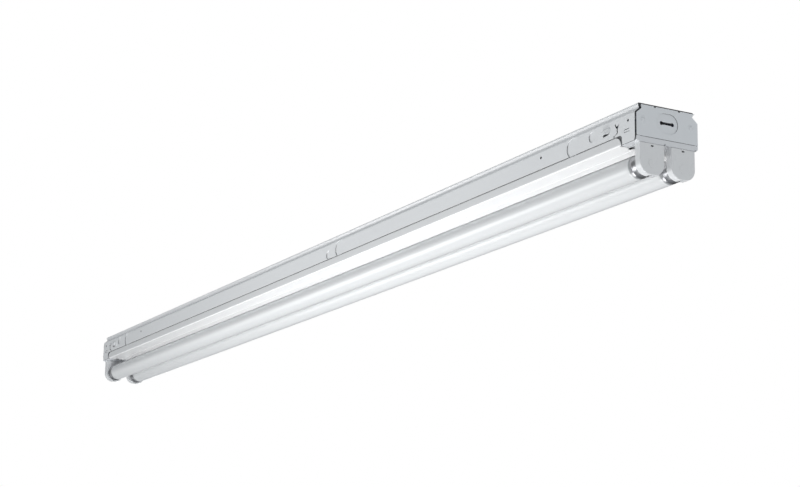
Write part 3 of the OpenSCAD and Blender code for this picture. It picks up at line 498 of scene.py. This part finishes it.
finishes = {
    "channel_paint": painted_steel(
        "channel_paint", (0.86, 0.87, 0.88), drift=0.05, gloss=0.26, ripple=1.0, wear=0.25,
        mask=channel_cut_edges_and_shade),
    "cover_paint": painted_steel(
        "cover_paint", (0.82, 0.825, 0.83), drift=0.04, gloss=0.20, ripple=0.8, wear=0.2),
    "end_plate_paint": painted_steel(
        "end_plate_paint", (0.78, 0.805, 0.83), drift=0.05, gloss=0.30, ripple=1.0, wear=0.3,
        mask=plate_cut_edges, relief=pressed_dimples),
    "bracket_paint": painted_steel(
        "bracket_paint", (0.76, 0.775, 0.80), drift=0.04, gloss=0.26, ripple=1.0, wear=0.25, mask=painted_shade_on_tail),
    "ballast_paint": painted_steel(
        "ballast_paint", (0.78, 0.78, 0.76), drift=0.06, gloss=0.32, ripple=1.2, wear=0.4),
    "green_screw": painted_steel(
        "green_screw", (0.04, 0.20, 0.07), drift=0.15, gloss=0.35, ripple=1.0, wear=0.8),
}
print("painted finishes:", sorted(finishes))

# %% [markdown]
# Moulded plastic copies the finish of its mould: a fine even grain that only shows as a
# soft sheen. Dyed wire covering and cast plastic use the same skin with other amounts.

# %% Moulded plastic


def make_moulded_skin():
    tree, given, result = effect_group(
        "moulded_skin", {"Colour": (0.8, 0.8, 0.8, 1), "Drift": 0.03, "Gloss": 0.35, "Grain": 1.0},
        ["Colour", "Roughness", "Height"])
    place = own_place(tree)
    flow = noise(tree, place, 60, 3, (1, 1, 0.4))
    drift = times(tree, minus(tree, flow, 0.5), given["Drift"])
    level = plus(tree, 1.0, drift)
    link(tree, shade(tree, given["Colour"], level), result["Colour"])
    link(tree, plus(tree, given["Gloss"], times(tree, flow, 0.08)), result["Roughness"])
    grain = add(tree, "ShaderNodeTexVoronoi", {"Vector": place, "Scale": 2600}).outputs["Distance"]
    link(tree, times(tree, grain, given["Grain"]), result["Height"])
    return tree


moulded_skin = make_moulded_skin()


def moulded(name, colour, gloss, grain=1.0, drift=0.03):
    finish, tree, skin = new_finish(name, IOR=1.49)
    amounts = {"Colour": (*colour, 1), "Gloss": gloss, "Grain": grain, "Drift": drift}
    mould = effect(tree, moulded_skin, amounts)
    link(tree, mould["Colour"], skin.inputs["Base Color"])
    link(tree, mould["Roughness"], skin.inputs["Roughness"])
    raise_skin(tree, skin, mould["Height"], 0.012 * mm)
    return finish


finishes.update({
    "holder_plastic": moulded("holder_plastic", (0.79, 0.80, 0.81), gloss=0.24, grain=0.6),
    "rotor_plastic": moulded("rotor_plastic", (0.76, 0.76, 0.755), gloss=0.38),
    "bushing_nylon": moulded("bushing_nylon", (0.02, 0.02, 0.022), gloss=0.42),
    "insulator_board": moulded("insulator_board", (0.09, 0.065, 0.04), gloss=0.7, grain=2.0, drift=0.3),
    "capacitor_sleeve": moulded("capacitor_sleeve", (0.012, 0.016, 0.06), gloss=0.22, grain=0.3),
    "connector_plastic": moulded("connector_plastic", (0.68, 0.13, 0.015), gloss=0.45),
    "lead_blue": moulded("lead_blue", (0.012, 0.045, 0.34), gloss=0.30, grain=0.5),
    "lead_red": moulded("lead_red", (0.42, 0.012, 0.01), gloss=0.30, grain=0.5),
    "lead_black": moulded("lead_black", (0.006, 0.006, 0.006), gloss=0.30, grain=0.5),
    "lead_green": moulded("lead_green", (0.01, 0.16, 0.03), gloss=0.30, grain=0.5),
})
print("painted and moulded finishes:", len(finishes))

# %% [markdown]
# Drawn, rolled and plated metal shows fine lines along the way it was worked.
# Long thin noise gives those lines in both the gloss and the height.
# The direction is set by how the noise is stretched.

# %% Worked metal


def make_drawn_lines():
    tree, given, result = effect_group(
        "drawn_lines", {"Colour": (0.6, 0.6, 0.6, 1), "Gloss": 0.2, "Depth": 1.0, "Stain": 0.1},
        ["Colour", "Roughness", "Height"])
    place = own_place(tree)
    lines = noise(tree, place, 900, 2, (1, 0.06, 0.06))
    stain = noise(tree, place, 70, 4)
    level = minus(tree, 1.0, times(tree, stain, given["Stain"]))
    link(tree, shade(tree, given["Colour"], level), result["Colour"])
    uneven = plus(tree, times(tree, lines, 0.12), times(tree, stain, 0.08))
    link(tree, plus(tree, given["Gloss"], uneven), result["Roughness"])
    link(tree, times(tree, lines, given["Depth"]), result["Height"])
    return tree


drawn_lines = make_drawn_lines()


def worked_metal(name, colour, gloss, depth=1.0, stain=0.1):
    finish, tree, skin = new_finish(name, Metallic=1.0)
    amounts = {"Colour": (*colour, 1), "Gloss": gloss, "Depth": depth, "Stain": stain}
    metal = effect(tree, drawn_lines, amounts)
    link(tree, metal["Colour"], skin.inputs["Base Color"])
    link(tree, metal["Roughness"], skin.inputs["Roughness"])
    raise_skin(tree, skin, metal["Height"], 0.01 * mm)
    return finish


finishes.update({
    "cap_metal": worked_metal("cap_metal", (0.37, 0.375, 0.39), gloss=0.20, depth=0.7),
    "contact_bronze": worked_metal("contact_bronze", (0.72, 0.42, 0.20), gloss=0.24),
    "pin_metal": worked_metal("pin_metal", (0.68, 0.62, 0.48), gloss=0.18),
    "ballast_steel": worked_metal("ballast_steel", (0.50, 0.51, 0.52), gloss=0.34, stain=0.25),
    "zinc_screw": worked_metal("zinc_screw", (0.56, 0.56, 0.54), gloss=0.26, depth=0.6, stain=0.2),
    "clip_steel": worked_metal("clip_steel", (0.58, 0.58, 0.56), gloss=0.28, depth=0.8, stain=0.15),
})
print("metal finishes ready")

# %% [markdown]
# A fluorescent lamp is a clear glass tube with white powder fired onto its inside.
# The powder stops short of the metal caps, so a narrow ring of clear glass there looks
# darker. The outside stays glass, smooth and glossy. Its top is painted a dark grey, a
# painted shade that draws a dark line along the top of each lamp, and is rougher there.

# %% Lamp glass
cap_low, cap_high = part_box("lamp_cap_near_front")
powder_end = cap_low.x - 3.4 * mm
powder_fades_over = 1.6 * mm
powder_raggedness = 1.2 * mm
fired_powder = (0.745, 0.755, 0.76, 1)
clear_glass = (0.40, 0.41, 0.42, 1)
lamp_top_shade = (0.22, 0.22, 0.225, 1)
lamp_top_shade_amount = 0.92


def lamp_glass():
    finish, tree, skin = new_finish("lamp_glass", IOR=1.5)
    place = own_place(tree)
    along = size_of(tree, split(tree, place)["X"])
    grain = noise(tree, place, 300, 3)
    wash = noise(tree, place, 5, 2, (1, 3, 3))
    stray = times(tree, minus(tree, grain, 0.5), powder_raggedness)
    clear = ramp(tree, plus(tree, along, stray), powder_end, powder_end + powder_fades_over)
    mottle = times(tree, plus(tree, times(tree, grain, 0.4), wash), 0.02)
    level = plus(tree, 0.985, mottle)
    seen = blend(tree, clear, shade(tree, fired_powder, level), clear_glass)
    # Painted shade: faces that look up are darkened to a dark grey and made rougher.
    upward = split(tree, add(tree, "ShaderNodeTexCoord").outputs["Normal"])["Z"]
    dust = times(tree, ramp(tree, upward, 0.42, 0.86), lamp_top_shade_amount)
    link(tree, blend(tree, dust, seen, lamp_top_shade), skin.inputs["Base Color"])
    smooth = minus(tree, 0.30, times(tree, clear, 0.22))
    link(tree, plus(tree, smooth, times(tree, dust, 0.6)), skin.inputs["Roughness"])
    raise_skin(tree, skin, noise(tree, place, 14, 1, (0.3, 1, 1)), 0.06 * mm)
    return finish


finishes["lamp_glass"] = lamp_glass()
print("powder ends", round(powder_end / mm, 1), "mm from the middle")

# %% [markdown]
# The rest is inside and only shows when the cover is down: glass stems, a circuit board
# with its green lacquer and copper tracks, and taped coils.

# %% Finishes inside the housing


def stem_glass():
    finish, tree, skin = new_finish("cathode_glass", IOR=1.5)
    place = own_place(tree)
    smoke = noise(tree, place, 120, 3)
    link(tree, blend(tree, smoke, (0.42, 0.44, 0.44, 1), (0.62, 0.64, 0.65, 1)), skin.inputs["Base Color"])
    link(tree, plus(tree, 0.05, times(tree, smoke, 0.15)), skin.inputs["Roughness"])
    raise_skin(tree, skin, smoke, 0.03 * mm)
    return finish


def circuit_board():
    finish, tree, skin = new_finish("circuit_board", IOR=1.5, Coat_Weight=0.4)
    place = own_place(tree)
    tracks = add(tree, "ShaderNodeTexVoronoi", {"Vector": place, "Scale": 160}, feature="DISTANCE_TO_EDGE")
    copper = ramp(tree, tracks.outputs["Distance"], 0.06, 0.10)
    weave = noise(tree, place, 1500, 1)
    lacquer = blend(tree, copper, (0.03, 0.20, 0.06, 1), (0.01, 0.09, 0.03, 1))
    link(tree, lacquer, skin.inputs["Base Color"])
    link(tree, plus(tree, 0.25, times(tree, weave, 0.2)), skin.inputs["Roughness"])
    raise_skin(tree, skin, copper, -0.04 * mm)
    return finish


def coil_tape():
    finish, tree, skin = new_finish("coil_tape", IOR=1.5)
    place = own_place(tree)
    winding = {"Vector": place, "Scale": 260, "Distortion": 0.6}
    turns = add(tree, "ShaderNodeTexWave", winding, bands_direction="X").outputs["Fac"]
    crease = noise(tree, place, 200, 3)
    link(tree, blend(tree, turns, (0.40, 0.22, 0.02, 1), (0.55, 0.34, 0.05, 1)), skin.inputs["Base Color"])
    link(tree, plus(tree, 0.3, times(tree, crease, 0.25)), skin.inputs["Roughness"])
    raise_skin(tree, skin, plus(tree, turns, crease), 0.06 * mm)
    return finish


finishes.update({"cathode_glass": stem_glass(), "circuit_board": circuit_board(), "coil_tape": coil_tape()})
for name, node in nodes.items():
    if not node.material_slots:
        node.data.materials.append(finishes[slot_of[name]])
    for place in node.material_slots:
        place.material = finishes[slot_of[name]]
missing = sorted(set(slot_of.values()) - set(finishes))
print("every slot has a finish" if not missing else f"no finish for {missing}")

# %% [markdown]
# A lampholder is two mouldings, a body and a lid. A mould can't have a sharp outer corner,
# and the soft light on those round edges is what makes the piece look moulded.
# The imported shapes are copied, welded, and only the edges of one face are rounded.

# %% Round the lampholders
ends = {"near": 1, "far": -1}
sides = ("front", "rear")
weld_within = 0.002 * mm
flat_within = math.radians(0.6)
in_plane = 0.01 * mm
sharp_from = math.radians(40)


def new_piece(name, mesh, body, slot, *stands_for):
    piece = bpy.data.objects.new(name, mesh)
    scene.collection.objects.link(piece)
    mesh.materials.clear()
    mesh.materials.append(finishes[slot])
    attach(piece, body)
    if stands_for:
        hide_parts(*stands_for)
    return piece


def welded_copy(node, name):
    mesh = nodes[node].data.copy()
    mesh.name = name
    form = bmesh.new()
    form.from_mesh(mesh)
    bmesh.ops.remove_doubles(form, verts=form.verts, dist=weld_within)
    bmesh.ops.dissolve_limit(form, angle_limit=flat_within, verts=form.verts, edges=form.edges)
    return mesh, form


def even_light(piece):
    """A flat next to a rounded edge keeps its own direction, so that it shades evenly."""
    weigh = piece.modifiers.new("even_light", "WEIGHTED_NORMAL")
    weigh.keep_sharp = True
    weigh.weight = 100
    mesh = bpy.data.meshes.new_from_object(piece.evaluated_get(bpy.context.evaluated_depsgraph_get()))
    mesh.name = piece.name
    piece.modifiers.clear()
    piece.data = mesh


def finish_mesh(mesh, form, angle=32):
    form.to_mesh(mesh)
    form.free()
    mesh.update()
    mesh.shade_smooth()
    mesh.set_sharp_from_angle(angle=math.radians(angle))


def round_face(node, name, face_x, radius, body, slot, spared=()):
    """Rounds the edges in the plane x = face_x, but none within a spared circle of (z, radius)."""
    mesh, form = welded_copy(node, name)
    form.normal_update()
    low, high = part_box(node)
    axis_y = (low.y + high.y) / 2

    def is_spared(edge):
        middle = (edge.verts[0].co + edge.verts[1].co) / 2
        return any(math.hypot(middle.y - axis_y, middle.z - z) < reach for z, reach in spared)

    chosen = [e for e in form.edges
              if all(abs(v.co.x - face_x) < in_plane for v in e.verts)
              and len(e.link_faces) == 2 and e.calc_face_angle(0) > sharp_from and not is_spared(e)]
    bmesh.ops.bevel(form, geom=chosen, offset=radius, segments=3, profile=0.5,
                    affect="EDGES", clamp_overlap=True)
    finish_mesh(mesh, form)
    even_light(new_piece(name, mesh, body, slot, node))
    return len(chosen)


boss = (-62 * mm, 5.5 * mm)
window = (-43.7 * mm, 2.6 * mm)
lid_face_depth = 0.35 * mm
for end, along in ends.items():
    for side in sides:
        low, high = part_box(f"holder_body_{end}_{side}")
        inner_face = low.x if along > 0 else high.x
        count = round_face(f"holder_body_{end}_{side}", f"holder_shell_{end}_{side}", inner_face, 0.5 * mm,
                           "housing", "holder_plastic")
        low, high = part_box(f"holder_lid_{end}_{side}")
        outer_face = (high.x - lid_face_depth) if along > 0 else (low.x + lid_face_depth)
        lid_count = round_face(f"holder_lid_{end}_{side}", f"holder_face_{end}_{side}", outer_face, 0.7 * mm,
                               "housing", "holder_plastic", [boss, window])
        print("lampholder", end, side, "rounded edges:", count, "+", lid_count)

# %% [markdown]
# The lamp's glass follows one rule: a long cylinder that draws in at each end, round a
# shoulder, to a neck inside the metal cap. A Geometry Nodes tree bends a flat grid into
# that form. The grid's rows are packed towards the ends, where the shape changes, and
# the last row has no radius, so that it closes the tube.

# %% Grow the lamp tubes


def tree_inputs(name, inputs):
    tree = bpy.data.node_groups.new(name, "GeometryNodeTree")
    tree.interface.new_socket("Geometry", in_out="OUTPUT", socket_type="NodeSocketGeometry")
    for label, value in inputs.items():
        kind = {int: "NodeSocketInt", float: "NodeSocketFloat"}.get(type(value), "NodeSocketMaterial")
        socket = tree.interface.new_socket(label, in_out="INPUT", socket_type=kind)
        if kind != "NodeSocketMaterial":
            socket.default_value = value
    given = tree.nodes.new("NodeGroupInput").outputs
    return tree, given, tree.nodes.new("NodeGroupOutput").inputs["Geometry"]


def end_tree(tree, shape, material, result):
    real = add(tree, "GeometryNodeRealizeInstances", {"Geometry": shape}).outputs[0]
    coated = add(tree, "GeometryNodeSetMaterial", {"Geometry": real, "Material": material}).outputs[0]
    link(tree, coated, result)


def flat_grid(tree, length, given):
    """A grid of this length, 2 pi wide, with the X and Y of its points."""
    grid = add(tree, "GeometryNodeMeshGrid", {
        "Size X": length, "Size Y": 2 * math.pi,
        "Vertices X": given["Rings"], "Vertices Y": given["Segments"]})
    flat = split(tree, add(tree, "GeometryNodeInputPosition").outputs[0])
    return grid.outputs["Mesh"], flat["X"], flat["Y"]


def roll(tree, grid, x, radius, angle, given, weld):
    """Rolls the grid round the axis, with each point at its own radius, and welds the seam."""
    y = plus(tree, times(tree, radius, calc(tree, "COSINE", angle)), given["Axis Y"])
    z = plus(tree, times(tree, radius, calc(tree, "SINE", angle)), given["Axis Z"])
    place = add(tree, "ShaderNodeCombineXYZ", {"X": x, "Y": y, "Z": z}).outputs[0]
    bent = add(tree, "GeometryNodeSetPosition", {"Geometry": grid, "Position": place}).outputs[0]
    return add(tree, "GeometryNodeMergeByDistance", {"Geometry": bent, "Distance": weld}).outputs[0]


def tube_tree():
    tree, given, result = tree_inputs("lamp_tube", {
        "Half length": 0.74, "Radius": 0.0128, "Neck radius": 0.0114,
        "Shoulder from": 0.73, "Shoulder": 0.005, "Rings": 161, "Segments": 97,
        "Axis Y": 0.0, "Axis Z": 0.0, "Material": None})
    grid, along, angle = flat_grid(tree, 2.0, given)
    packed = calc(tree, "SINE", times(tree, along, math.pi / 2))
    x = times(tree, packed, given["Half length"])
    past_shoulder = minus(tree, size_of(tree, x), given["Shoulder from"])
    past = calc(tree, "DIVIDE", past_shoulder, given["Shoulder"], clamp=True)
    fall = calc(tree, "SQRT", minus(tree, 1.0, times(tree, past, past)))
    swell = times(tree, fall, minus(tree, given["Radius"], given["Neck radius"]))
    not_last = calc(tree, "LESS_THAN", size_of(tree, along), 0.9999)
    radius = times(tree, plus(tree, given["Neck radius"], swell), not_last)
    closed = roll(tree, grid, x, radius, angle, given, weld=0.01 * mm)
    smooth = add(tree, "GeometryNodeSetShadeSmooth", {"Geometry": closed}).outputs[0]
    end_tree(tree, smooth, given["Material"], result)
    return tree


def grow(tree, name, values):
    """Runs a Geometry Nodes tree with these inputs and returns the plain mesh that it makes."""
    seed = bpy.data.objects.new(name + "_seed", bpy.data.meshes.new(name + "_seed"))
    scene.collection.objects.link(seed)
    modifier = seed.modifiers.new(name, "NODES")
    modifier.node_group = tree
    for item in tree.interface.items_tree:
        if item.in_out == "INPUT" and item.name in values:
            modifier[item.identifier] = values[item.name]
    seed.update_tag()
    mesh = bpy.data.meshes.new_from_object(seed.evaluated_get(bpy.context.evaluated_depsgraph_get()))
    mesh.name = name
    bpy.data.objects.remove(seed)
    return mesh


def face_outwards(mesh):
    form = bmesh.new()
    form.from_mesh(mesh)
    bmesh.ops.recalc_face_normals(form, faces=form.faces)
    form.to_mesh(mesh)
    form.free()


lamp_tube = tube_tree()
for side in sides:
    low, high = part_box(f"glass_tube_{side}")
    centre = (low + high) / 2
    mesh = grow(lamp_tube, f"lamp_tube_{side}", {
        "Half length": high.x, "Radius": (high.y - low.y) / 2, "Neck radius": 11.4 * mm,
        "Shoulder from": cap_low.x - 5.4 * mm, "Shoulder": 5.2 * mm,
        "Axis Y": centre.y, "Axis Z": centre.z, "Material": finishes["lamp_glass"]})
    face_outwards(mesh)
    new_piece(f"lamp_tube_{side}", mesh, f"{side}_lamp", "lamp_glass", f"glass_tube_{side}")
    print("lamp", side, "has", len(mesh.polygons), "faces")

# %% [markdown]
# Each lamp cap is a shallow cup drawn from thin aluminium. It has a rolled bead where it
# meets the glass, a round corner at its face, and a turned-in lip that holds the board
# with the pins. A cup is round, so its profile is simply spun about the lamp's axis.

# %% Spin the lamp caps
spin_steps = 96


def arc(centre, radius, start, stop, steps=6):
    angles = [math.radians(start + (stop - start) * k / steps) for k in range(steps + 1)]
    return [(centre[0] + radius * math.cos(a), centre[1] + radius * math.sin(a)) for a in angles]


def spun(name, profile, axis_y, axis_z, turn=1):
    """Spins points of (x, radius) about the lamp's axis. turn is -1 for the far end."""
    form = bmesh.new()
    rings = [[form.verts.new((turn * x, axis_y + r * math.cos(a), axis_z + r * math.sin(a)))
              for a in (2 * math.pi * k / spin_steps for k in range(spin_steps))] for x, r in profile]
    for ring, following in zip(rings, rings[1:] + rings[:1]):
        for k in range(spin_steps):
            form.faces.new((ring[k], ring[k - 1], following[k - 1], following[k]))
    bmesh.ops.recalc_face_normals(form, faces=form.faces)
    mesh = bpy.data.meshes.new(name)
    finish_mesh(mesh, form, 40)
    return mesh


cap_radius = (cap_high.y - cap_low.y) / 2
cap_wall = 0.4 * mm
corner = 1.5 * mm
bead = 0.55 * mm
waist = cap_radius - 0.22 * mm
inside = cap_radius - cap_wall - 0.3 * mm
lip = 8.7 * mm
cap_profile = (
    [(cap_high.x, lip)]
    + arc((cap_high.x - corner, cap_radius - corner), corner, 0, 90)
    + arc((cap_low.x + 4.2 * mm, cap_radius - 0.1 * mm), 0.1 * mm, 90, 150, 2)
    + [(cap_low.x + 3.4 * mm, waist), (cap_low.x + 2.2 * mm, waist)]
    + arc((cap_low.x + bead, cap_radius - bead * 0.7), bead, 60, 230, 8)
    + [(cap_low.x + 1.2 * mm, inside), (cap_high.x - corner, inside),
       (cap_high.x - cap_wall, cap_radius - corner), (cap_high.x - cap_wall, lip)]
)
for end, along in ends.items():
    for side in sides:
        low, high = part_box(f"lamp_cap_{end}_{side}")
        centre = (low + high) / 2
        mesh = spun(f"lamp_cup_{end}_{side}", cap_profile, centre.y, centre.z, along)
        new_piece(mesh.name, mesh, f"{side}_lamp", "cap_metal", f"lamp_cap_{end}_{side}")
print("lamp caps of", round(2 * cap_radius / mm, 1), "mm across")

# %% [markdown]
# A twist-on connector is a ribbed plastic cone that grips two bared wires. Its ribs are
# the same all round, so one tree makes it: a grid is rolled into the cone, from the
# bottom of its bore, over the mouth and the ribbed skirt, to the tip.

# %% Roll the twist-on connectors
floor_until, bore_until, mouth_until, skirt_until = 0.15, 0.35, 0.45, 0.90


def connector_tree():
    tree, given, result = tree_inputs("twist_on_connector", {
        "Length": 0.016, "Mouth radius": 0.0038, "Tip radius": 0.0026,
        "Bore radius": 0.0013, "Bore depth": 0.009, "Ribs": 12, "Rib depth": 0.00035,
        "Rings": 81, "Segments": 145,
        "Mouth X": 0.0, "Axis Y": 0.0, "Axis Z": 0.0, "Material": None})
    grid, along, angle = flat_grid(tree, 1.0, given)
    share = plus(tree, along, 0.5)
    over_floor = ramp(tree, share, 0.0, floor_until)
    out_of_bore = ramp(tree, share, floor_until, bore_until)
    over_mouth = ramp(tree, share, bore_until, mouth_until)
    along_skirt = ramp(tree, share, mouth_until, skirt_until)
    over_tip = ramp(tree, share, skirt_until, 1.0)
    climbed = times(tree, out_of_bore, given["Bore depth"])
    in_bore = minus(tree, given["Bore depth"], climbed)
    from_mouth = plus(tree, in_bore, times(tree, along_skirt, given["Length"]))
    x = plus(tree, from_mouth, given["Mouth X"])
    bore = times(tree, over_floor, given["Bore radius"])
    lip_width = minus(tree, given["Mouth radius"], given["Bore radius"])
    narrowing = minus(tree, given["Mouth radius"], given["Tip radius"])
    lip = times(tree, over_mouth, lip_width)
    taper = times(tree, along_skirt, narrowing)
    shell = minus(tree, plus(tree, bore, lip), taper)
    smooth_radius = times(tree, shell, minus(tree, 1.0, over_tip))
    swing = calc(tree, "COSINE", times(tree, angle, given["Ribs"]))
    wave = plus(tree, times(tree, swing, 0.5), 0.5)
    on_skirt = times(tree, ramp(tree, share, 0.50, 0.55), ramp(tree, share, 0.86, 0.80))
    groove = times(tree, times(tree, wave, on_skirt), given["Rib depth"])
    radius = minus(tree, smooth_radius, groove)
    end_tree(tree, roll(tree, grid, x, radius, angle, given, weld_within), given["Material"], result)
    return tree


twist_on_connector = connector_tree()
low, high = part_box("wire_connectors")
mouth_radius = (high.z - low.z) / 2
for side, y in (("front", low.y + mouth_radius), ("rear", high.y - mouth_radius)):
    mesh = grow(twist_on_connector, f"twist_on_connector_{side}", {
        "Length": high.x - low.x, "Mouth radius": mouth_radius, "Mouth X": low.x,
        "Axis Y": y, "Axis Z": (low.z + high.z) / 2, "Material": finishes["connector_plastic"]})
    face_outwards(mesh)
    mesh.shade_smooth()
    mesh.set_sharp_from_angle(angle=sharp_from)
    new_piece(mesh.name, mesh, "housing", "connector_plastic", "wire_connectors")
    print(mesh.name, "has", len(mesh.polygons), "faces")

# %% [markdown]
# Fired powder is a translucent white: a lamp held in front of a light glows all through.
# To show that at no cost, one soft box lights the cover alone and the lamps don't block it.
# Its twin beside it lights the rest, with shadows. Light linking does both, and it also
# keeps the two boxes behind the fixture off the floor.

# %% Let the low light through the lamps


def linked_set(name, pieces, left_out):
    """A set for light linking. With left_out, a light works on everything but these pieces."""
    chosen = bpy.data.collections.new(name)
    for piece in pieces:
        chosen.objects.link(piece)
    if left_out:
        for entry in chosen.collection_objects:
            entry.light_linking.link_state = "EXCLUDE"
    return chosen


tubes = [bpy.data.objects[f"lamp_tube_{side}"] for side in sides]
cover = [nodes["channel_cover"]]
box_below.light_linking.blocker_collection = linked_set("lamps_let_light_through", tubes, left_out=True)
box_below.light_linking.receiver_collection = linked_set("lit_by_box_below", cover, left_out=False)
box_low.light_linking.receiver_collection = linked_set("not_lit_by_box_low", cover, left_out=True)
not_lit_from_behind = linked_set("not_lit_from_behind", [floor], left_out=True)
for box in (box_behind, box_far_end):
    box.light_linking.receiver_collection = not_lit_from_behind
print(box_below.name, "lights", [piece.name for piece in cover])
